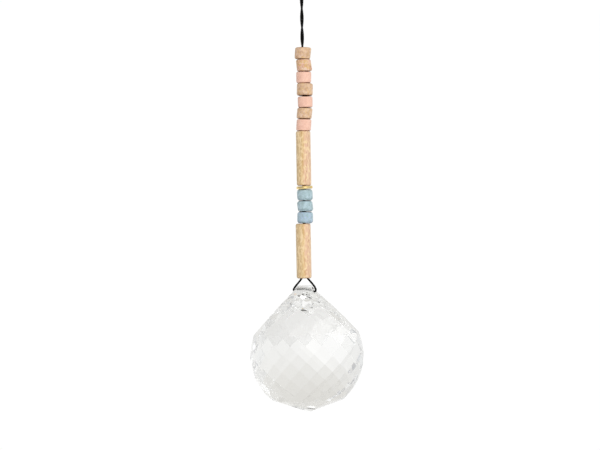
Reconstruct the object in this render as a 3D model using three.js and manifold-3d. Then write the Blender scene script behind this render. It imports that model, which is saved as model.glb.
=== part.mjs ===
// Crystal suncatcher: a clear cut-glass ball on a fine twisted cord threaded with small wooden beads.
// Millimetres, +Z up. The origin is the inside top of the hanging loop, and everything hangs below it.
// +X is to the right and -Y is to the front.
import * as THREE from 'three';
import { mergeVertices } from 'three/addons/utils/BufferGeometryUtils.js';
import Module from 'manifold-3d';

const wasm = await Module();
wasm.setup();

// ---- Driving dimensions ---------------------------------------------------------------------
// Crystal ball
const BALL_DIAMETER = 40;
const DIAMONDS_ROUND = 16; // diamond facets in each row of the ball
const CROWN_FLATS = 8; // flats round the crown, the neck and the point underneath
const NECK_RADIUS = 4.6; // to the corners of the octagon where the lug starts
const NECK_HEIGHT = 21.9; // above the ball's centre
const NECK_FACET_FOOT = 18.8; // height of the lower points of the small facets under the neck
const RIDGE_FOOT = 13; // height where the long crown ridges end
const LUG_SHOULDER = { radius: 3.4, height: 23.3 };
const LUG_TOP = { radius: 2.4, height: 24.5 };
const HOLE_DIAMETER = 1.5;
const HOLE_HEIGHT = 22.35; // drilled sideways through the lug
const BALL_CENTRE = [0.25, 0, -148];
const BALL_LEAN = THREE.MathUtils.degToRad(1.3); // its point swings towards +X
const HOLE_TURN = THREE.MathUtils.degToRad(-30); // the hole's right mouth faces a little forward

// Beads
const STACK_TOP = -40;
const BORED = {
  bead: { bore: 2.4, edge: 0.55 }, // edge is the rounding of the outer rims
  tube: { bore: 3.2, edge: 0.35 },
  disc: { bore: 2.4, edge: 0.3 },
};
const BORE_BEVEL = 0.3; // broken edge at both ends of each bore
// The stack, from the top down. Diameter, height and the gap under it, then its offset in X and Y on
// the loose cord, and its lean in degrees about Y and about X.
const STACK = [
  ['bead_tan_1', 'bead', 'tan', 5.6, 4.07, 0.22, [0.16, 0.1], [1.2, 0.3]],
  ['bead_speckled', 'bead', 'speckled', 5.4, 3.97, 0.3, [0.5, -0.1], [-0.4, -0.5]],
  ['bead_pink_1', 'bead', 'pink', 5.24, 3.87, 0.3, [0.37, 0.15], [0.3, 0.4]],
  ['bead_tan_2', 'bead', 'tan', 5.68, 4.07, 0.5, [0.69, 0.1], [1.3, 0.6]],
  ['bead_pink_2', 'bead', 'pink', 5.2, 3.75, 0.25, [0.78, -0.05], [-0.6, 0.2]],
  ['bead_tan_3', 'bead', 'tan', 5.3, 3.68, 0.25, [0.48, 0.1], [2.2, -0.6]],
  ['bead_pink_3', 'bead', 'pink', 5.24, 3.98, 0.25, [0.18, 0.1], [1.6, 0.3]],
  ['tube_upper', 'tube', 'wood', 5.1, 18.9, 0.38, [-0.03, 0.05], [-0.3, 0.1]],
  ['gold_spacer', 'disc', 'gold', 5.72, 0.85, 0.3, [0.16, -0.1], [-0.8, 0.5]],
  ['bead_blue_1', 'bead', 'blue', 5.48, 3.72, 0.22, [0.25, 0], [-0.4, 0.4]],
  ['bead_blue_2', 'bead', 'blue', 5.45, 3.72, 0.25, [0.28, 0.1], [-1.4, -0.4]],
  ['bead_blue_3', 'bead', 'blue', 5.55, 3.78, 0.25, [0.24, 0], [0.6, 0.3]],
  ['tube_lower', 'tube', 'wood', 5.24, 19.2, 0, [-0.44, 0.05], [-0.45, 0.1]],
];
const ROUND_SIDES = 24;
const EDGE_STEPS = 2;

// Cord
const STRAND = 0.68; // diameter of the single strand
const PAIR = 1.24; // diameter of the two strands twisted together
const CORD_SIDES = 8;
const KNOT = { top: -18, radius: 1.3, height: 3.2 };
const PAIR_END = -117.5; // where the twisted pair parts, inside the lower tube bead

// ---- Finishes -------------------------------------------------------------------------------
const finish = (color, roughness, metalness = 0) =>
  new THREE.MeshStandardMaterial({ color, roughness, metalness });
const FINISHES = {
  crystal: () => finish(0xf1f4f2, 0.02),
  tan: () => finish(0xdcb692, 0.65),
  speckled: () => finish(0xd9b08c, 0.7),
  pink: () => finish(0xf0bfa8, 0.6),
  blue: () => finish(0xa9c4cd, 0.6),
  wood: () => finish(0xe2bd8c, 0.7),
  gold: () => finish(0xe6c15a, 0.25, 1),
  black: () => finish(0x0d0c0c, 0.6),
};

// ---- Solids ---------------------------------------------------------------------------------
// A body's vertices are shared before it is joined or cut, so only positions are kept.
function toManifold(geometry) {
  const bare = geometry.clone();
  bare.deleteAttribute('normal');
  bare.deleteAttribute('uv');
  const shared = mergeVertices(bare, 1e-4);
  const mesh = new wasm.Mesh({
    numProp: 3,
    vertProperties: new Float32Array(shared.attributes.position.array),
    triVerts: new Uint32Array(shared.index.array),
  });
  return new wasm.Manifold(mesh);
}

function toGeometry(solid) {
  const mesh = solid.getMesh();
  const geometry = new THREE.BufferGeometry();
  geometry.setAttribute('position', new THREE.BufferAttribute(mesh.vertProperties, 3));
  geometry.setIndex(new THREE.BufferAttribute(mesh.triVerts, 1));
  geometry.computeVertexNormals();
  return geometry;
}

// A closed body from flat polygons, each listed anticlockwise as seen from outside.
function polyhedron(polygons) {
  const corners = [];
  for (const polygon of polygons) {
    for (let i = 2; i < polygon.length; i += 1) {
      corners.push(...polygon[0], ...polygon[i - 1], ...polygon[i]);
    }
  }
  const geometry = new THREE.BufferGeometry();
  geometry.setAttribute('position', new THREE.Float32BufferAttribute(corners, 3));
  geometry.computeVertexNormals();
  return geometry;
}

function mesh(name, geometry, finishName) {
  const piece = new THREE.Mesh(geometry, FINISHES[finishName]());
  piece.name = name;
  return piece;
}

// ---- The crystal ball -----------------------------------------------------------------------
// Seen in a plane through the axis, a flat facet is a straight line r = start + slope * z.
const lineThrough = (p, q) => {
  const slope = (q.r - p.r) / (q.z - p.z);
  return { start: p.r - slope * p.z, slope };
};
const widened = (line, factor) => ({ start: line.start * factor, slope: line.slope * factor });
const atHeight = (line, z) => ({ r: line.start + line.slope * z, z });
const crossing = (a, b) => atHeight(a, (b.start - a.start) / (a.slope - b.slope));

function crystalBall() {
  const radius = BALL_DIAMETER / 2;
  const halfDiamond = Math.PI / DIAMONDS_ROUND;
  const halfFlat = Math.PI / CROWN_FLATS;
  const chordMiddle = (ring, half) => ({ r: ring.r * Math.cos(half), z: ring.z });

  // Rings of corners on the sphere, from the widest upwards. Each diamond is flat, so the line from
  // its lower corner through the middle of its width meets the sphere again at its upper corner.
  const rings = [{ r: radius, z: 0 }];
  let below = { r: radius * Math.cos(halfDiamond), z: -radius * Math.sin(halfDiamond) };
  for (let k = 0; k < 5; k += 1) {
    const middle = chordMiddle(rings[k], halfDiamond);
    const along = { r: middle.r - below.r, z: middle.z - below.z };
    const reach = (-2 * (below.r * along.r + below.z * along.z)) / (along.r ** 2 + along.z ** 2);
    const above = { r: below.r + along.r * reach, z: below.z + along.z * reach };
    below = rings[k];
    rings.push(above);
  }
  const ring = (k) => (k < 0 ? { r: rings[-k].r, z: -rings[-k].z } : rings[k]);
  const corner = (at, angle) => [at.r * Math.cos(angle), at.r * Math.sin(angle), at.z];
  const net = (k, angle) => corner(ring(k), angle);

  // Crown: long flats from the neck's corners down to the second ring, parted by straight ridges.
  const neck = { r: NECK_RADIUS, z: NECK_HEIGHT };
  const longFlat = lineThrough(chordMiddle(ring(2), halfDiamond), neck);
  const ridge = widened(longFlat, 1 / Math.cos(halfFlat));
  const ridgeTop = atHeight(ridge, NECK_FACET_FOOT);
  const ridgeFoot = atHeight(ridge, RIDGE_FOOT);
  const shoulder = { r: LUG_SHOULDER.radius, z: LUG_SHOULDER.height };
  const lugTop = { r: LUG_TOP.radius, z: LUG_TOP.height };

  // Point: eight broad flats meet at the bottom, bounded by the lowest row of small ones.
  const tip = { r: 0, z: -radius };
  const lowRow = lineThrough(ring(-4), chordMiddle(ring(-5), halfDiamond));
  const pointFlat = lineThrough(tip, ring(-5));
  const pointCorner = crossing(
    widened(lowRow, 1 / Math.cos(halfDiamond)),
    widened(pointFlat, 1 / Math.cos(halfFlat)),
  );

  const polygons = [];
  for (let j = 0; j < DIAMONDS_ROUND; j += 1) {
    for (let k = -4; k <= 1; k += 1) {
      const a = (2 * j + (k % 2 === 0 ? 0 : 1)) * halfDiamond;
      const left = net(k, a - halfDiamond);
      const right = net(k, a + halfDiamond);
      polygons.push([net(k - 1, a), right, net(k + 1, a), left]);
    }
    const a = 2 * j * halfDiamond;
    polygons.push([net(1, a), net(2, a + halfDiamond), net(2, a - halfDiamond)]);
  }
  for (let j = 0; j < CROWN_FLATS; j += 1) {
    const a = 2 * j * halfFlat;
    const b = a + halfFlat;
    const c = a - halfFlat;
    polygons.push(
      [net(2, a - halfDiamond), net(2, a + halfDiamond), corner(ridgeFoot, a)],
      [
        net(2, b - halfDiamond),
        net(2, b + halfDiamond),
        corner(ridgeFoot, b + halfFlat),
        corner(ridgeTop, b + halfFlat),
        corner(neck, b),
        corner(ridgeTop, a),
        corner(ridgeFoot, a),
      ],
      [corner(ridgeTop, a), corner(neck, b), corner(neck, c)],
      [corner(neck, c), corner(neck, b), corner(shoulder, b), corner(shoulder, c)],
      [corner(shoulder, c), corner(shoulder, b), corner(lugTop, b), corner(lugTop, c)],
      [corner(pointCorner, b), net(-5, b), net(-4, a + halfDiamond), net(-5, a)],
      [corner(pointCorner, c), net(-5, a), net(-4, a - halfDiamond), net(-5, c)],
      [corner(tip, 0), corner(pointCorner, b), net(-5, a), corner(pointCorner, c)],
    );
  }
  const flatTop = [];
  for (let j = 0; j < CROWN_FLATS; j += 1) {
    flatTop.push(corner(lugTop, (2 * j + 1) * halfFlat));
  }
  polygons.push(flatTop);

  // The hole runs along local X, through two opposite flats of the lug.
  const drill = new THREE.CylinderGeometry(HOLE_DIAMETER / 2, HOLE_DIAMETER / 2, BALL_DIAMETER, 16);
  drill.rotateZ(Math.PI / 2);
  drill.translate(0, 0, HOLE_HEIGHT);
  return toGeometry(toManifold(polyhedron(polygons)).subtract(toManifold(drill)));
}

const ball = mesh('crystal_ball', crystalBall(), 'crystal');
ball.rotation.z = HOLE_TURN;
const leaning = new THREE.Group();
leaning.position.set(...BALL_CENTRE);
leaning.rotation.y = -BALL_LEAN;
leaning.add(ball);

// ---- The beads ------------------------------------------------------------------------------
// A bead is turned: straight sides, rounded outer rims and a bore along Z with its edges broken.
function turnedBead(diameter, height, bore, edge) {
  const outer = diameter / 2;
  const inner = bore / 2;
  const half = height / 2;
  const profile = [
    new THREE.Vector2(inner, -half + BORE_BEVEL),
    new THREE.Vector2(inner + BORE_BEVEL, -half),
  ];
  for (const end of [-1, 1]) {
    for (let i = 0; i <= EDGE_STEPS; i += 1) {
      const turn = ((end < 0 ? i : EDGE_STEPS - i) / EDGE_STEPS) * (Math.PI / 2);
      const r = outer - edge + edge * Math.sin(turn);
      const y = end * (half - edge + edge * Math.cos(turn));
      profile.push(new THREE.Vector2(r, y));
    }
  }
  profile.push(new THREE.Vector2(inner + BORE_BEVEL, half));
  profile.push(new THREE.Vector2(inner, half - BORE_BEVEL));
  profile.push(profile[0].clone());
  const geometry = new THREE.LatheGeometry(profile, ROUND_SIDES);
  geometry.rotateX(Math.PI / 2);
  return toGeometry(toManifold(geometry));
}

const beads = [];
let top = STACK_TOP;
for (const [name, kind, finishName, diameter, height, gap, shift, lean] of STACK) {
  const { bore, edge } = BORED[kind];
  const piece = mesh(name, turnedBead(diameter, height, bore, edge), finishName);
  piece.position.set(shift[0], shift[1], top - height / 2);
  piece.rotation.y = THREE.MathUtils.degToRad(lean[0]);
  piece.rotation.x = THREE.MathUtils.degToRad(lean[1]);
  beads.push(piece);
  top -= height + gap;
}

// ---- The cord -------------------------------------------------------------------------------
// One strand, doubled: it makes the hanging loop, an overhand knot, a twisted pair down through the
// beads, then two legs that part to the ends of the drilled hole and meet inside it.
const LOOP_ROUTE = [
  [-0.3, 0, -19.4], [-0.35, 0, -18], [-1.1, 0, -15.2], [-2.2, 0, -11.6], [-3.1, 0, -8],
  [-3.4, 0, -4.6], [-2.6, 0, -1.5], [0, 0, 0.3], [2.6, 0, -1.5], [3.4, 0, -4.6],
  [3.1, 0, -8], [2.2, 0, -11.6], [1.1, 0, -15.2], [0.35, 0, -18], [0.3, 0, -19.4],
];
const PAIR_ROUTE = [
  [0, 0, -19.6], [0, 0, -30], [0.05, 0, -40], [0.38, 0.02, -56], [0.4, 0.02, -61],
  [0.1, 0.02, -72], [0, 0.02, -90], [-0.15, 0.02, -104], [-0.25, 0, PAIR_END],
];
// Distance along the hole from the neck's axis, and height above the ball's centre.
const LEGS_ROUTE = [
  [-0.3, 31], [-0.34, 29.6], [-0.58, 28.2], [-1.2, 26.9], [-2, 25.95], [-3.05, 24.85],
  [-3.95, 23.85], [-4.46, 23.05], [-4.3, 22.48], [-3.6, 22.3], [0, 22.35], [3.6, 22.35],
  [4.3, 22.45], [4.5, 23], [4.1, 23.9], [3.3, 24.9], [2.4, 25.85], [1.65, 26.6],
  [1.05, 27.3], [0.62, 28.3], [0.38, 29.5], [0.3, 31],
];
const NECK_X = BALL_CENTRE[0] - HOLE_HEIGHT * Math.sin(BALL_LEAN);

const onLoopPlane = ([x, y, z]) => new THREE.Vector3(x, y, z);
const onHolePlane = ([s, h]) =>
  new THREE.Vector3(NECK_X + s * Math.cos(HOLE_TURN), s * Math.sin(HOLE_TURN), BALL_CENTRE[2] + h);

function cordTube(points, diameter, steps) {
  const section = new THREE.Shape();
  for (let i = 0; i < CORD_SIDES; i += 1) {
    const a = (2 * Math.PI * i) / CORD_SIDES;
    const x = (diameter / 2) * Math.cos(a);
    const y = (diameter / 2) * Math.sin(a);
    if (i === 0) section.moveTo(x, y);
    else section.lineTo(x, y);
  }
  const extrudePath = new THREE.CatmullRomCurve3(points, false, 'centripetal');
  return toManifold(new THREE.ExtrudeGeometry(section, { steps, extrudePath }));
}

function knotBody() {
  const profile = [];
  const rows = 6;
  for (let i = 0; i <= rows; i += 1) {
    const turn = (i / rows) * Math.PI;
    const r = KNOT.radius * Math.sin(turn);
    profile.push(new THREE.Vector2(i % rows === 0 ? 0 : r, (-KNOT.height / 2) * Math.cos(turn)));
  }
  const geometry = new THREE.LatheGeometry(profile, CORD_SIDES);
  geometry.rotateX(Math.PI / 2);
  geometry.translate(0, 0, KNOT.top - KNOT.height / 2);
  return toManifold(geometry);
}

const cordSolid = cordTube(PAIR_ROUTE.map(onLoopPlane), PAIR, 30)
  .add(cordTube(LOOP_ROUTE.map(onLoopPlane), STRAND, 28))
  .add(cordTube(LEGS_ROUTE.map(onHolePlane), STRAND, 22))
  .add(knotBody());
const cord = mesh('cord', toGeometry(cordSolid), 'black');

const suncatcher = new THREE.Group();
suncatcher.add(leaning, ...beads, cord);

export default suncatcher;
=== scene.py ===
import math

import bmesh
import bpy
import numpy as np
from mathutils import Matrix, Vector


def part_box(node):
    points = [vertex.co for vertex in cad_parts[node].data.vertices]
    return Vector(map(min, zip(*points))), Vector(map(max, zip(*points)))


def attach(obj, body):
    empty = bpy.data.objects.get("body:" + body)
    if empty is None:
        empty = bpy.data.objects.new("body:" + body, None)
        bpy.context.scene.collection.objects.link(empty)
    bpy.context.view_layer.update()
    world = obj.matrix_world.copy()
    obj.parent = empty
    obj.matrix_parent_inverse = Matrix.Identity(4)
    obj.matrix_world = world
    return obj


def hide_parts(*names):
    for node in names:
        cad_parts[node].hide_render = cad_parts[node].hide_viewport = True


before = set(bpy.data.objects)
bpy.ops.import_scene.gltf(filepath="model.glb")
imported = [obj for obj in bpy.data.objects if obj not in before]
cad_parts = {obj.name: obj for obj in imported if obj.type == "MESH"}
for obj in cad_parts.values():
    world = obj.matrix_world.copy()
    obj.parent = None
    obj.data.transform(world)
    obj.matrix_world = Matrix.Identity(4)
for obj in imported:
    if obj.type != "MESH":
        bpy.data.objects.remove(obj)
bpy.ops.object.select_all(action="DESELECT")
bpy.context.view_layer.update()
scene = bpy.context.scene
MM = 0.001

# ---- Camera ---------------------------------------------------------------------------------
# A long lens on a level with the middle of the string, looking straight at it. The string hangs a
# little off the upright of the frame, so the camera is rolled by as much.
LENS = 150
SENSOR = 36
FRAME_WIDTH = 210.6 * MM
ROLL = math.radians(0.74)
AIM = Vector((-1.6, 0, -102.3)) * MM

camera_data = bpy.data.cameras.new("camera")
camera_data.lens = LENS
camera_data.sensor_width = SENSOR
camera = bpy.data.objects.new("camera", camera_data)
scene.collection.objects.link(camera)
camera.location = AIM - Vector((0, FRAME_WIDTH * LENS / SENSOR, 0))
camera.rotation_euler = (math.radians(90), ROLL, 0)
scene.camera = camera

# ---- Cord -----------------------------------------------------------------------------------
# One length of black waxed thread, laid from three plies and doubled. It is tied once under the
# hanging loop, twists down as a pair through every bead, parts under the lowest one and passes
# through the crystal's drilled hole. Its ends stop out of sight inside the lower tube.
STRAND = 0.72 * MM
PAIR_SPACING = 0.6 * MM  # the two strands press into each other a little
PAIR_TURN = 13.33 * MM  # length of one full turn of the pair
PAIR_PHASE = math.radians(48)
PLIES = 3
PLY_TURN = 2.6 * MM
PLY_GROOVE = 0.1
CORD_STEP = 0.2 * MM
HOLE_TURN = math.radians(-30)
BALL_CENTRE = Vector((0.25, 0, -148)) * MM
NECK_X = -0.257 * MM
KNOT_TOP = -18 * MM
KNOT_FOOT = -21.2 * MM
KNOT_EASING = 12  # passes that round the sharp turns inside the knot
LOOP_ROUTE = [
    (-0.35, 0, -17.8), (-1.1, 0, -15.2), (-2.2, 0, -11.6), (-3.1, 0, -8), (-3.4, 0, -4.6),
    (-2.6, 0, -1.5), (0, 0, 0.3), (2.6, 0, -1.5), (3.4, 0, -4.6), (3.1, 0, -8),
    (2.2, 0, -11.6), (1.1, 0, -15.2), (0.35, 0, -17.8),
]
PAIR_ROUTE = [
    (0, 0, -21.4), (0, 0, -30), (0.05, 0, -40), (0.38, 0.02, -56), (0.4, 0.02, -61),
    (0.1, 0.02, -72), (0, 0.02, -90), (-0.15, 0.02, -104), (-0.25, 0, -117.5),
]
# Distance along the hole from the neck's axis, and height above the ball's centre.
LEGS_ROUTE = [
    (-0.34, 29.6), (-0.58, 28.2), (-1.2, 26.9), (-2, 25.95), (-3.05, 24.85), (-3.95, 23.85),
    (-4.46, 23.05), (-4.3, 22.48), (-3.6, 22.3), (0, 22.35), (3.6, 22.35), (4.3, 22.45),
    (4.5, 23), (4.1, 23.9), (3.3, 24.9), (2.4, 25.85), (1.65, 26.6), (1.05, 27.3),
    (0.62, 28.3), (0.38, 29.5),
]


def smooth_route(points, step=CORD_STEP):
    """A centripetal Catmull-Rom curve through the points, cut into even steps."""
    knots = np.array(points, float)
    knots = np.vstack([2 * knots[0] - knots[1], knots, 2 * knots[-1] - knots[-2]])
    curve = []
    for a, b, c, d in zip(knots[:-3], knots[1:-2], knots[2:-1], knots[3:]):
        t1 = np.linalg.norm(b - a) ** 0.5
        t2 = t1 + np.linalg.norm(c - b) ** 0.5
        t3 = t2 + np.linalg.norm(d - c) ** 0.5
        for t in np.linspace(t1, t2, 24, endpoint=False):
            ab = a + (b - a) * t / t1
            bc = b + (c - b) * (t - t1) / (t2 - t1)
            cd = c + (d - c) * (t - t2) / (t3 - t2)
            abc = ab + (bc - ab) * t / t2
            bcd = bc + (cd - bc) * (t - t1) / (t3 - t1)
            curve.append(abc + (bcd - abc) * (t - t1) / (t2 - t1))
    curve.append(knots[-2])
    curve = np.array(curve)
    along = distance_along(curve)
    evenly = np.linspace(0, along[-1], max(2, round(along[-1] / step)))
    return np.stack([np.interp(evenly, along, curve[:, k]) for k in range(3)], axis=1)


def distance_along(path):
    steps = np.linalg.norm(np.diff(path, axis=0), axis=1)
    return np.concatenate([[0], np.cumsum(steps)])


def twisted_strand(side):
    """One strand of the pair, from the knot down to where the legs part."""
    middle = smooth_route(np.array(PAIR_ROUTE) * MM)
    turn = PAIR_PHASE + 2 * math.pi * (middle[:, 2] - KNOT_FOOT) / PAIR_TURN
    aside = np.stack([np.cos(turn), np.sin(turn), 0 * turn], axis=1)
    return middle + aside * side * PAIR_SPACING / 2


def knot_strand(side):
    """One strand's way down through the overhand knot: in, once round the outside, and out."""
    x = side * 0.34 * MM
    wrap_radius = 0.95 * MM
    wrap_top = KNOT_FOOT + 0.95 * MM - side * 0.33 * MM
    points = [(x, 0.3 * MM, KNOT_TOP), (x, 0.42 * MM, wrap_top + 0.5 * MM)]
    for part in np.linspace(0, 1, 11):
        turn = math.radians((125 - side * 25) * (1 - part) + 550 * part)
        height = wrap_top + part * 1.35 * MM
        points.append((wrap_radius * math.cos(turn), wrap_radius * math.sin(turn), height))
    points += [(x * 0.8, -0.4 * MM, KNOT_TOP - 0.6 * MM), (x * 0.8, -0.35 * MM, KNOT_FOOT + 0.5 * MM)]
    return points


def cord_route():
    """The whole strand: a leg, up the pair, through the knot, round the loop, and back again."""
    legs = [
        (
            NECK_X + s * MM * math.cos(HOLE_TURN),
            s * MM * math.sin(HOLE_TURN),
            BALL_CENTRE.z + h * MM,
        )
        for s, h in LEGS_ROUTE
    ]
    sparse = slice(4, -4, 8)
    stretches = [
        legs,
        twisted_strand(1)[::-1][sparse],
        knot_strand(1)[::-1],
        np.array(LOOP_ROUTE[::-1]) * MM,
        knot_strand(-1),
        twisted_strand(-1)[sparse],
    ]
    route = smooth_route(np.vstack(stretches))
    heights = route[1:-1, 2]
    in_knot = (heights > KNOT_FOOT) & (heights < KNOT_TOP + 0.8 * MM)
    for _ in range(KNOT_EASING):
        between = (route[:-2] + route[2:]) / 2
        route[1:-1] += (between - route[1:-1]) / 2 * in_knot[:, None]
    return route


def laid_strand(name, path):
    """A tube of twisted plies along the path. Its UV map gives the place round it and along it."""
    sides = PLIES * 6
    tangent = np.gradient(path, axis=0)
    tangent /= np.linalg.norm(tangent, axis=1)[:, None]
    along = distance_along(path)
    across = np.zeros_like(path)
    across[0] = np.cross(tangent[0], (0, 1, 0))
    for i in range(len(path)):
        before = across[max(i - 1, 0)]
        across[i] = before - tangent[i] * np.dot(before, tangent[i])
        across[i] /= np.linalg.norm(across[i])
    aside = np.cross(tangent, across)
    mesh = bpy.data.meshes.new(name)
    shape = bmesh.new()
    rings = []
    for i, centre in enumerate(path):
        ring = []
        for k in range(sides):
            angle = 2 * math.pi * k / sides
            groove = 1 - PLY_GROOVE * abs(math.cos(angle * PLIES / 2)) ** 4
            turned = angle + 2 * math.pi * along[i] / PLY_TURN
            outward = math.cos(turned) * across[i] + math.sin(turned) * aside[i]
            ring.append(shape.verts.new(centre + STRAND / 2 * groove * outward))
        rings.append(ring)
    place = shape.loops.layers.uv.new("along_cord")
    for i in range(len(rings) - 1):
        for k in range(sides):
            j = (k + 1) % sides
            face = shape.faces.new((rings[i][k], rings[i][j], rings[i + 1][j], rings[i + 1][k]))
            face.smooth = True
            for loop, u, v in zip(face.loops, (k, k + 1, k + 1, k), (i, i, i + 1, i + 1)):
                loop[place].uv = (u / sides, along[v] / PLY_TURN)
    shape.faces.new(reversed(rings[0]))
    shape.faces.new(rings[-1])
    shape.to_mesh(mesh)
    shape.free()
    piece = bpy.data.objects.new(name, mesh)
    scene.collection.objects.link(piece)
    return piece


def new_material(name):
    """A material with its principled shader, and the functions that add and join its nodes."""
    material = bpy.data.materials.new(name)
    material.use_nodes = True
    tree = material.node_tree
    shader = tree.nodes["Principled BSDF"]

    def add(kind, **values):
        node = tree.nodes.new("ShaderNode" + kind)
        for key, value in values.items():
            if key in node.inputs.keys():
                node.inputs[key].default_value = value
            else:
                setattr(node, key, value)
        return node

    def ramp(source, *stops):
        """A colour ramp fed by the source, its stops given as (position, colour)."""
        node = add("ValToRGB")
        elements = node.color_ramp.elements
        while len(elements) < len(stops):
            elements.new(0.5)
        for element, (position, colour) in zip(elements, stops):
            element.position = position
            element.color = (*colour, 1) if len(colour) == 3 else colour
        tree.links.new(source, node.inputs["Fac"])
        return node.outputs["Color"]

    return material, shader, add, ramp, tree.links.new


def grey(value):
    return (value, value, value)


def waxed_thread():
    material, shader, add, ramp, join = new_material("waxed_thread")
    place = add("UVMap", uv_map="along_cord")
    stretched = add("Mapping", Scale=(30, 5, 1))
    fibres = add("TexNoise", Scale=1, Detail=4)
    join(place.outputs["UV"], stretched.inputs["Vector"])
    join(stretched.outputs["Vector"], fibres.inputs["Vector"])
    tone = ramp(fibres.outputs["Fac"], (0.3, grey(0.0012)), (0.75, (0.006, 0.0055, 0.005)))
    wax = ramp(fibres.outputs["Fac"], (0.3, grey(0.55)), (0.7, grey(0.8)))
    relief = add("Bump", Strength=0.5, Distance=0.02 * MM)
    join(fibres.outputs["Fac"], relief.inputs["Height"])
    join(tone, shader.inputs["Base Color"])
    join(wax, shader.inputs["Roughness"])
    join(relief.outputs["Normal"], shader.inputs["Normal"])
    shader.inputs["Specular IOR Level"].default_value = 0.1
    return material


route = cord_route()
cord = laid_strand("black_cord", route)
cord.data.materials.append(waxed_thread())
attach(cord, "root")
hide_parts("cord")

# ---- Crystal ball ---------------------------------------------------------------------------
# Clear crystal glass, ground into flat diamonds and long crown flats and then polished. The hole
# through its neck is drilled and left finely ground, so its wall is frosted.
HOLE_RADIUS = 0.75 * MM
GLASS_INDEX = 1.55


def activate(piece):
    bpy.ops.object.select_all(action="DESELECT")
    piece.select_set(True)
    bpy.context.view_layer.objects.active = piece


def polished_glass():
    material, shader, add, ramp, join = new_material("polished_glass")
    shader.inputs["Base Color"].default_value = (0.99, 0.995, 0.99, 1)
    shader.inputs["Transmission Weight"].default_value = 1
    shader.inputs["Roughness"].default_value = 0
    shader.inputs["IOR"].default_value = GLASS_INDEX
    return material


def ground_glass():
    material, shader, add, ramp, join = new_material("ground_glass")
    place = add("TexCoord")
    grit = add("TexNoise", Scale=9000, Detail=2)
    relief = add("Bump", Strength=0.3, Distance=0.01 * MM)
    join(place.outputs["Object"], grit.inputs["Vector"])
    join(grit.outputs["Fac"], relief.inputs["Height"])
    join(relief.outputs["Normal"], shader.inputs["Normal"])
    shader.inputs["Base Color"].default_value = (0.97, 0.97, 0.96, 1)
    shader.inputs["Transmission Weight"].default_value = 1
    shader.inputs["Roughness"].default_value = 0.35
    shader.inputs["IOR"].default_value = GLASS_INDEX
    return material


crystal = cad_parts["crystal_ball"].copy()
crystal.data = crystal.data.copy()
crystal.name = crystal.data.name = "cut_crystal"
crystal.parent = None
scene.collection.objects.link(crystal)
activate(crystal)
bpy.ops.object.mode_set(mode="EDIT")
bpy.ops.mesh.select_all(action="SELECT")
bpy.ops.mesh.remove_doubles(threshold=0.002 * MM)
bpy.ops.mesh.dissolve_limited(angle_limit=math.radians(0.6))
bpy.ops.object.mode_set(mode="OBJECT")
crystal.data.materials.clear()
crystal.data.materials.append(polished_glass())
crystal.data.materials.append(ground_glass())
hole_axis = Vector((math.cos(HOLE_TURN), math.sin(HOLE_TURN), 0))
hole_middle = Vector((NECK_X, 0, BALL_CENTRE.z + 22.35 * MM))
for face in crystal.data.polygons:
    offset = face.center - hole_middle
    off_axis = (offset - hole_axis * offset.dot(hole_axis)).length
    face.material_index = int(off_axis < HOLE_RADIUS and abs(face.normal.dot(hole_axis)) < 0.2)
    face.use_smooth = False
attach(crystal, "root")
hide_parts("crystal_ball")

# ---- Upper beads ----------------------------------------------------------------------------
# Seven short wooden rings, turned and bored, with rounded rims. Three are stained tan, one is a
# rosy, more speckled tan, and three are painted plain pink. They sit loosely on the cord.
BEAD_BORE = 2.4 * MM
BORE_BEVEL = 0.3 * MM
BEAD_RIM = 0.62 * MM
# name: slot, diameter, height, lean about Y and X in degrees, how far the top is slipped sideways,
# and the flare of the top, as each was sanded a little out of true
UPPER_BEADS = {
    "bead_tan_1": ("tan_paint", 5.55, 4.07, (1.4, 0.3), 0.22, 1.02),
    "bead_speckled": ("speckled_paint", 5.35, 4.17, (-0.8, -0.5), -0.3, 0.97),
    "bead_pink_1": ("pink_paint", 5.22, 4.03, (0.3, 0.4), 0.02, 1.02),
    "bead_tan_2": ("tan_paint", 5.62, 4.27, (1.8, -3), 0.0, 1.0),
    "bead_pink_2": ("pink_paint", 5.15, 3.89, (-0.6, 0.2), -0.02, 1.02),
    "bead_tan_3": ("tan_paint", 5.3, 3.8, (2.2, -0.6), 0.18, 1.01),
    "bead_pink_3": ("pink_paint", 5.2, 4.12, (1.6, 0.3), 0.14, 1.0),
}


def pick(piece, kind, test):
    """In edit mode, select the vertices, edges or faces that pass the test."""
    bpy.ops.mesh.select_all(action="DESELECT")
    bpy.ops.mesh.select_mode(type=kind)
    shape = bmesh.from_edit_mesh(piece.data)
    for element in {"VERT": shape.verts, "EDGE": shape.edges, "FACE": shape.faces}[kind]:
        element.select_set(test(element))
    bmesh.update_edit_mesh(piece.data)


def level_edge(edge, radius):
    """Whether an edge runs round the turned piece at this radius."""
    a, b = (vertex.co for vertex in edge.verts)
    near = radius * 0.97 < a.xy.length < radius * 1.03
    return near and abs(a.z - b.z) < 0.01 * MM


def upright_edge(edge, radius):
    a, b = (vertex.co for vertex in edge.verts)
    return a.xy.length > radius * 0.9 and abs(a.z - b.z) > 0.5 * MM


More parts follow.
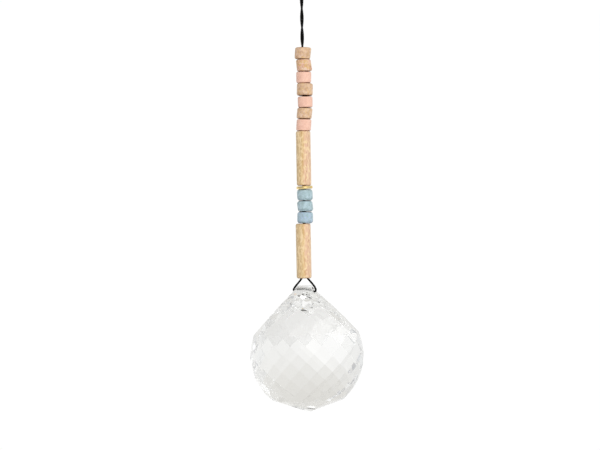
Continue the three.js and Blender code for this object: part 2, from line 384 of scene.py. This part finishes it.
def turned_ring(name, diameter, height, bore, rim, lean, slip=0, flare=1, cuts=7, lumps=0.05):
    """A bored, turned piece with rounded rims, centred where the frame has its node."""
    low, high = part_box(name)
    middle = [(a + b) / 2 for a, b in zip(low, high)]
    radius = diameter * MM / 2
    bpy.ops.object.select_all(action="DESELECT")
    bpy.ops.mesh.primitive_cylinder_add(
        vertices=64,
        radius=radius,
        depth=height * MM,
        location=middle,
        rotation=(math.radians(lean[1]), math.radians(lean[0]), 0),
    )
    piece = bpy.context.object
    piece.name = piece.data.name = "turned_" + name
    bpy.ops.object.mode_set(mode="EDIT")
    pick(piece, "FACE", lambda face: abs(face.normal.z) > 0.9)
    bpy.ops.mesh.inset(thickness=radius - bore / 2)
    bpy.ops.mesh.delete(type="FACE")
    pick(piece, "EDGE", lambda edge: edge.is_boundary)
    bpy.ops.mesh.bridge_edge_loops()
    pick(piece, "EDGE", lambda edge: level_edge(edge, radius))
    bpy.ops.mesh.bevel(offset=rim, segments=5)
    pick(piece, "EDGE", lambda edge: level_edge(edge, bore / 2))
    bpy.ops.mesh.bevel(offset=BORE_BEVEL, segments=2)
    pick(piece, "VERT", lambda vertex: vertex.co.z > 0)
    bpy.ops.transform.translate(value=(slip * MM / 2, 0, 0))
    bpy.ops.transform.resize(value=(flare, flare, 1), center_override=middle)
    pick(piece, "VERT", lambda vertex: vertex.co.z < 0)
    bpy.ops.transform.translate(value=(-slip * MM / 2, 0, 0))
    pick(piece, "EDGE", lambda edge: upright_edge(edge, radius))
    bpy.ops.mesh.subdivide(number_cuts=cuts)
    bpy.ops.object.mode_set(mode="OBJECT")
    clouds = bpy.data.textures.new("lumps", "CLOUDS")
    clouds.noise_scale = 1.6 * MM
    uneven = piece.modifiers.new("uneven", "DISPLACE")
    uneven.texture = clouds
    uneven.texture_coords = "GLOBAL"
    uneven.strength = lumps * MM
    bpy.ops.object.modifier_apply(modifier=uneven.name)
    bpy.ops.object.shade_smooth_by_angle(angle=math.radians(50))
    bpy.ops.object.transform_apply()
    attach(piece, "root")
    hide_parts(name)
    return piece


def coat(piece, outside, ends, radius):
    """The finish goes on the turned outside; the cut ends and the bore show the other material, a dark
    painted shade for the grooves where the pieces meet.
    """
    piece.data.materials.append(outside)
    piece.data.materials.append(ends)
    middle = sum((Vector(corner) for corner in piece.bound_box), Vector()) / 8
    for face in piece.data.polygons:
        inside = (face.center - middle).xy.length < radius
        face.material_index = int(inside or abs(face.normal.z) > 0.8)


# Colour for the cut ends and bores: brown end wood made dark as painted shade for the grooves between
# beads and tubes, with blotches of deeper painted shade.
def end_wood_painted_shade(name, dark, light):
    material, shader, add, ramp, join = new_material(name)
    place = add("TexCoord").outputs["Object"]
    fibres = add("TexNoise", Scale=3200, Detail=3)
    shade_blotches = add("TexNoise", Scale=700, Detail=2)
    join(place, fibres.inputs["Vector"])
    join(place, shade_blotches.inputs["Vector"])
    tone = ramp(fibres.outputs["Fac"], (0.35, dark), (0.65, light))
    blotchy_shade = ramp(shade_blotches.outputs["Fac"], (0.4, grey(0.7)), (0.6, grey(1)))
    darkened = add("Mix", data_type="RGBA", blend_type="MULTIPLY")
    darkened.inputs[0].default_value = 1
    join(tone, darkened.inputs[6])
    join(blotchy_shade, darkened.inputs[7])
    join(darkened.outputs[2], shader.inputs["Base Color"])
    ragged = add("Bump", Strength=0.6, Distance=0.03 * MM)
    join(fibres.outputs["Fac"], ragged.inputs["Height"])
    join(ragged.outputs["Normal"], shader.inputs["Normal"])
    shader.inputs["Roughness"].default_value = 0.85
    shader.inputs["Specular IOR Level"].default_value = 0.2
    return material


def painted_wood(name, shades, specks, speck_amount, relief_depth=0.03):
    """Matte paint on turned wood: soft mottling, fine specks, pores and faint turning rings.

    shades are the dark, middle and light colours of the mottling, and specks the two colours of
    the flecks in it.
    """
    material, shader, add, ramp, join = new_material(name)
    place = add("TexCoord").outputs["Object"]
    mottle = add("TexNoise", Scale=850, Detail=4, Roughness=0.62, Distortion=0.4)
    fleck = add("TexNoise", Scale=1700, Detail=2, Roughness=0.55)
    fleck_kind = add("TexNoise", Scale=900, Detail=0)
    pores = add("TexVoronoi", Scale=2600, Randomness=1)
    turning = add("TexWave", Scale=900, Distortion=1.5, Detail=2, bands_direction="Z")
    for texture in (mottle, fleck, fleck_kind, pores, turning):
        join(place, texture.inputs["Vector"])
    dark, middle, light = shades
    coat = ramp(mottle.outputs["Fac"], (0.38, dark), (0.5, middle), (0.62, light))
    edge = 0.62 - 0.14 * speck_amount
    shown = ramp(fleck.outputs["Fac"], (edge - 0.03, grey(0)), (edge + 0.1, grey(speck_amount)))
    kinds = ramp(fleck_kind.outputs["Fac"], (0.42, specks[0]), (0.58, specks[1]))
    flecked = add("Mix", data_type="RGBA")
    join(shown, flecked.inputs[0])
    join(coat, flecked.inputs[6])
    join(kinds, flecked.inputs[7])
    pitted = add("Mix", data_type="RGBA", blend_type="MULTIPLY")
    pits = ramp(pores.outputs["Distance"], (0.08, grey(0.72)), (0.2, grey(1)))
    pitted.inputs[0].default_value = 1
    join(flecked.outputs[2], pitted.inputs[6])
    join(pits, pitted.inputs[7])
    join(pitted.outputs[2], shader.inputs["Base Color"])
    dull = ramp(mottle.outputs["Fac"], (0.3, grey(0.55)), (0.7, grey(0.75)))
    join(dull, shader.inputs["Roughness"])
    shader.inputs["Specular IOR Level"].default_value = 0.3
    shader.inputs["Sheen Weight"].default_value = 0.4
    shader.inputs["Sheen Roughness"].default_value = 0.35
    rings = add("Bump", Strength=0.15, Distance=0.02 * MM)
    dents = add("Bump", Strength=0.5, Distance=relief_depth * MM)
    holes = add("Bump", Strength=0.6, Distance=0.02 * MM)
    join(turning.outputs["Fac"], rings.inputs["Height"])
    join(mottle.outputs["Fac"], dents.inputs["Height"])
    join(rings.outputs["Normal"], dents.inputs["Normal"])
    join(pits, holes.inputs["Height"])
    join(dents.outputs["Normal"], holes.inputs["Normal"])
    join(holes.outputs["Normal"], shader.inputs["Normal"])
    return material


UPPER_COATS = {
    "tan_paint": painted_wood(
        "tan_stain",
        shades=[(0.58, 0.36, 0.22), (0.73, 0.49, 0.335), (0.84, 0.62, 0.48)],
        specks=[(0.86, 0.56, 0.25), (0.66, 0.43, 0.17)],
        speck_amount=0.75,
    ),
    "speckled_paint": painted_wood(
        "speckled_stain",
        shades=[(0.58, 0.34, 0.20), (0.79, 0.53, 0.36), (0.90, 0.68, 0.54)],
        specks=[(0.86, 0.46, 0.36), (0.74, 0.46, 0.18)],
        speck_amount=0.9,
    ),
    "pink_paint": painted_wood(
        "pink_paint",
        shades=[(0.86, 0.52, 0.40), (0.93, 0.575, 0.445), (0.96, 0.625, 0.49)],
        specks=[(0.92, 0.60, 0.36), (0.86, 0.48, 0.40)],
        speck_amount=0.3,
        relief_depth=0.015,
    ),
}
# The ends and bores of the upper beads and the tubes are painted dark brown, as painted shade in the
# grooves between them.
bead_ends = end_wood_painted_shade("end_wood_painted_shade", (0.34, 0.15, 0.07), (0.58, 0.30, 0.17))
for name, (slot, diameter, height, lean, slip, flare) in UPPER_BEADS.items():
    bead = turned_ring(name, diameter, height, BEAD_BORE, BEAD_RIM, lean, slip, flare)
    coat(bead, UPPER_COATS[slot], bead_ends, BEAD_BORE * 0.7)

# ---- Wooden tubes ---------------------------------------------------------------------------
# Two tubes of bare pale wood, cut from drilled dowel and sanded. Their grain runs lengthwise, with
# short dark pores and a pinker streak of heartwood down one side.
TUBE_BORE = 3.2 * MM
TUBE_RIM = 0.62 * MM
TUBES = {"tube_upper": (5.1, 19.15, (-0.3, 0.1)), "tube_lower": (5.24, 19.2, (-0.45, 0.1))}


def bare_wood():
    material, shader, add, ramp, join = new_material("bare_wood")
    place = add("TexCoord").outputs["Object"]
    lengthwise = add("Mapping", Scale=(1, 1, 0.12))
    short = add("Mapping", Scale=(1, 1, 0.5))
    slender = add("Mapping", Scale=(1, 1, 0.22))
    wander = add("TexNoise", Scale=420, Detail=3, Roughness=0.5)
    grain = add("TexNoise", Scale=1700, Detail=4, Roughness=0.65)
    spots = add("TexNoise", Scale=1300, Detail=3, Roughness=0.6)
    pores = add("TexVoronoi", Scale=2300, Randomness=1)
    fuzz = add("TexNoise", Scale=5200, Detail=2)
    join(place, lengthwise.inputs["Vector"])
    join(place, short.inputs["Vector"])
    join(place, slender.inputs["Vector"])
    join(lengthwise.outputs["Vector"], wander.inputs["Vector"])
    join(lengthwise.outputs["Vector"], grain.inputs["Vector"])
    join(short.outputs["Vector"], spots.inputs["Vector"])
    join(slender.outputs["Vector"], pores.inputs["Vector"])
    join(place, fuzz.inputs["Vector"])
    across = add("SeparateXYZ")
    side = add("MapRange", **{"From Min": -2.6 * MM, "From Max": 2.6 * MM})
    wavy = add("Mix", data_type="FLOAT")
    join(place, across.inputs["Vector"])
    join(across.outputs["X"], side.inputs["Value"])
    wavy.inputs[0].default_value = 0.4
    join(side.outputs["Result"], wavy.inputs[2])
    join(wander.outputs["Fac"], wavy.inputs[3])
    heart = ramp(
        wavy.outputs[0],
        (0.3, (0.76, 0.57, 0.32)),
        (0.44, (0.82, 0.58, 0.29)),
        (0.56, (0.86, 0.57, 0.39)),
        (0.7, (0.82, 0.56, 0.39)),
    )
    lines = ramp(grain.outputs["Fac"], (0.38, (0.80, 0.70, 0.58)), (0.56, grey(1)))
    grained = add("Mix", data_type="RGBA", blend_type="MULTIPLY")
    grained.inputs[0].default_value = 0.8
    join(heart, grained.inputs[6])
    join(lines, grained.inputs[7])
    spotted = add("Mix", data_type="RGBA")
    patches = ramp(spots.outputs["Fac"], (0.48, grey(0)), (0.62, grey(1)))
    join(patches, spotted.inputs[0])
    join(grained.outputs[2], spotted.inputs[6])
    spotted.inputs[7].default_value = (0.94, 0.72, 0.44, 1)
    open_pores = ramp(pores.outputs["Distance"], (0.1, (0.62, 0.44, 0.28)), (0.26, grey(1)))
    pored = add("Mix", data_type="RGBA", blend_type="MULTIPLY")
    pored.inputs[0].default_value = 0.8
    join(spotted.outputs[2], pored.inputs[6])
    join(open_pores, pored.inputs[7])
    join(pored.outputs[2], shader.inputs["Base Color"])
    dull = ramp(grain.outputs["Fac"], (0.3, grey(0.6)), (0.7, grey(0.8)))
    join(dull, shader.inputs["Roughness"])
    shader.inputs["Specular IOR Level"].default_value = 0.3
    shader.inputs["Sheen Weight"].default_value = 0.3
    shader.inputs["Sheen Roughness"].default_value = 0.35
    fibre = add("Bump", Strength=0.6, Distance=0.04 * MM)
    hollow = add("Bump", Strength=0.7, Distance=0.04 * MM)
    nap = add("Bump", Strength=0.3, Distance=0.01 * MM)
    join(grain.outputs["Fac"], fibre.inputs["Height"])
    join(open_pores, hollow.inputs["Height"])
    join(fibre.outputs["Normal"], hollow.inputs["Normal"])
    join(fuzz.outputs["Fac"], nap.inputs["Height"])
    join(hollow.outputs["Normal"], nap.inputs["Normal"])
    join(nap.outputs["Normal"], shader.inputs["Normal"])
    return material


tube_wood = bare_wood()
for name, (diameter, height, lean) in TUBES.items():
    tube = turned_ring(name, diameter, height, TUBE_BORE, TUBE_RIM, lean, cuts=31, lumps=0.08)
    # The tube's ends and bore take the same dark painted shade.
    coat(tube, tube_wood, bead_ends, TUBE_BORE * 0.55)

# ---- Gold spacer ----------------------------------------------------------------------------
# A thin brass washer plated gold, pressed with a full-round rim and tumbled bright. It lies between
# the upper tube and the blue beads.
SPACER_RIM = 0.38 * MM


def bright_gold():
    material, shader, add, ramp, join = new_material("bright_gold")
    place = add("TexCoord").outputs["Object"]
    tumbled = add("TexNoise", Scale=1400, Detail=3)
    scratches = add("TexNoise", Scale=6000, Detail=2, Distortion=2)
    join(place, tumbled.inputs["Vector"])
    join(place, scratches.inputs["Vector"])
    tint = ramp(tumbled.outputs["Fac"], (0.35, (0.93, 0.66, 0.24)), (0.65, (1.0, 0.80, 0.42)))
    shine = ramp(scratches.outputs["Fac"], (0.35, grey(0.12)), (0.7, grey(0.3)))
    dents = add("Bump", Strength=0.3, Distance=0.02 * MM)
    join(tint, shader.inputs["Base Color"])
    join(shine, shader.inputs["Roughness"])
    join(tumbled.outputs["Fac"], dents.inputs["Height"])
    join(dents.outputs["Normal"], shader.inputs["Normal"])
    shader.inputs["Metallic"].default_value = 1
    return material


spacer = turned_ring(
    "gold_spacer", 5.72, 1.05, BEAD_BORE, SPACER_RIM, (-3, 0.5), cuts=1, lumps=0.02
)
spacer.data.materials.append(bright_gold())

# ---- Blue beads -----------------------------------------------------------------------------
# Three more turned rings, rounder at the rims than the upper ones, painted a matte grey blue. The
# lowest has a faint lilac cast.
BLUE_RIM = 0.95 * MM
BLUE_BEADS = {
    "bead_blue_1": (5.48, 3.92, (-0.4, 0.4), -0.06),
    "bead_blue_2": (5.42, 3.78, (-1.4, -0.4), -0.16),
    "bead_blue_3": (5.52, 4.02, (0.6, 0.3), 0),
}
blue_paint = painted_wood(
    "blue_paint",
    shades=[(0.37, 0.49, 0.51), (0.43, 0.57, 0.61), (0.53, 0.67, 0.73)],
    specks=[(0.52, 0.65, 0.80), (0.33, 0.50, 0.52)],
    speck_amount=0.4,
)
lilac_blue = painted_wood(
    "lilac_blue_paint",
    shades=[(0.37, 0.49, 0.53), (0.43, 0.565, 0.64), (0.52, 0.645, 0.78)],
    specks=[(0.48, 0.58, 0.88), (0.34, 0.52, 0.55)],
    speck_amount=0.6,
)
# The blue beads' ends and bores are near black: painted shade for the grooves between them.
blue_ends = end_wood_painted_shade("blue_ends_painted_shade", (0.07, 0.10, 0.11), (0.16, 0.20, 0.22))
for name, (diameter, height, lean, slip) in BLUE_BEADS.items():
    bead = turned_ring(name, diameter, height, BEAD_BORE, BLUE_RIM, lean, slip)
    coat(bead, lilac_blue if name == "bead_blue_3" else blue_paint, blue_ends, BEAD_BORE * 0.7)

# ---- Studio ---------------------------------------------------------------------------------
# A pale floor well below the crystal, a bright backdrop behind it, and broad soft lights. The
# room is a little dimmer overhead and to the right, which the crystal shows upside down.
FLOOR_DROP = -300 * MM
FLOOR_RADIUS = 1.2


def pale_floor():
    material, shader, add, ramp, join = new_material("pale_floor")
    place = add("TexCoord").outputs["Object"]
    cloth = add("TexNoise", Scale=14, Detail=3)
    join(place, cloth.inputs["Vector"])
    tone = ramp(cloth.outputs["Fac"], (0.3, grey(0.88)), (0.7, grey(0.9)))
    join(tone, shader.inputs["Base Color"])
    shader.inputs["Roughness"].default_value = 0.9
    spread = add("TexGradient", gradient_type="SPHERICAL")
    reach = add("Mapping", Scale=(1 / FLOOR_RADIUS, 1 / FLOOR_RADIUS, 0))
    join(place, reach.inputs["Vector"])
    join(reach.outputs["Vector"], spread.inputs["Vector"])
    join(ramp(spread.outputs["Fac"], (0.25, grey(0)), (0.75, grey(1))), shader.inputs["Alpha"])
    return material


bpy.ops.object.select_all(action="DESELECT")
bpy.ops.mesh.primitive_circle_add(
    vertices=128, radius=FLOOR_RADIUS, fill_type="NGON", location=(0, 0, FLOOR_DROP)
)
floor = bpy.context.object
floor.name = "floor"
floor.data.materials.append(pale_floor())

world = bpy.data.worlds.new("studio")
scene.world = world
world.use_nodes = True
room = world.node_tree
background = room.nodes["Background"]
direction = room.nodes.new("ShaderNodeTexCoord").outputs["Generated"]


def soft_lobe(azimuth, elevation, inner, outer, colour):
    """A smooth patch of the room's light, full within inner degrees of its middle, none past outer."""
    a, e = math.radians(azimuth), math.radians(elevation)
    near = room.nodes.new("ShaderNodeVectorMath")
    near.operation = "DOT_PRODUCT"
    near.inputs[1].default_value = (math.cos(e) * math.sin(a), math.cos(e) * math.cos(a), math.sin(e))
    fade = room.nodes.new("ShaderNodeMapRange")
    fade.interpolation_type = "SMOOTHSTEP"
    fade.inputs["From Min"].default_value = math.cos(math.radians(outer))
    fade.inputs["From Max"].default_value = math.cos(math.radians(inner))
    tint = room.nodes.new("ShaderNodeVectorMath")
    tint.operation = "SCALE"
    tint.inputs[0].default_value = colour
    room.links.new(direction, near.inputs[0])
    room.links.new(near.outputs["Value"], fade.inputs["Value"])
    room.links.new(fade.outputs["Result"], tint.inputs["Scale"])
    return tint.outputs["Vector"]


def with_lobes(base, lobes):
    """The room's even light with each lobe added to it."""
    total = None
    for lobe in lobes:
        both = room.nodes.new("ShaderNodeVectorMath")
        if total:
            room.links.new(total, both.inputs[1])
        else:
            both.inputs[1].default_value = base
        room.links.new(soft_lobe(*lobe), both.inputs[0])
        total = both.outputs["Vector"]
    return total


ROOM_LIGHT = (0.895, 0.89, 0.875)
ROOM_LOBES = [
    (-22, -21, 8, 36, (0.11, 0.11, 0.115)),
    (0, 60, 18, 72, (-0.19, -0.20, -0.22)),
    (-118, 5, 15, 75, (-0.42, -0.41, -0.37)),
    (112, 0, 15, 72, (-0.21, -0.185, -0.15)),
    (165, 8, 12, 40, (0.42, 0.42, 0.42)),
]
light = with_lobes(ROOM_LIGHT, ROOM_LOBES)
camera_ray = room.nodes.new("ShaderNodeLightPath").outputs["Is Camera Ray"]
seen = room.nodes.new("ShaderNodeMix")
seen.data_type = "VECTOR"
seen.inputs[5].default_value = (1.02, 1.02, 1.02)
room.links.new(camera_ray, seen.inputs[0])
room.links.new(light, seen.inputs[4])
room.links.new(seen.outputs[1], background.inputs["Color"])


def softbox(name, place, aim, size, watts, spread=180):
    """A square lamp. It lights the wood and the floor, but doesn't show in the glass."""
    data = bpy.data.lights.new(name, "AREA")
    data.size = size
    data.energy = watts
    data.spread = math.radians(spread)
    lamp = bpy.data.objects.new(name, data)
    lamp.location = place
    lamp.rotation_euler = (Vector(aim) - Vector(place)).to_track_quat("-Z", "Y").to_euler()
    lamp.visible_transmission = lamp.visible_glossy = False
    scene.collection.objects.link(lamp)


softbox("key", (0.25, -0.97, 0.15), (0, 0, -0.1), 0.95, 3.1)
softbox("overhead", (0.3, 0.45, 0.85), (0.12, 0.35, FLOOR_DROP), 0.6, 1.35)
softbox("pool", (-0.35, 0.45, 0.8), (-0.28, 0.4, FLOOR_DROP), 0.3, 0.3, spread=40)

scene.view_settings.view_transform = "Standard"
scene.view_settings.look = "None"
scene.cycles.max_bounces = 64
scene.cycles.glossy_bounces = 64
scene.cycles.transmission_bounces = 64
scene.cycles.transparent_max_bounces = 16
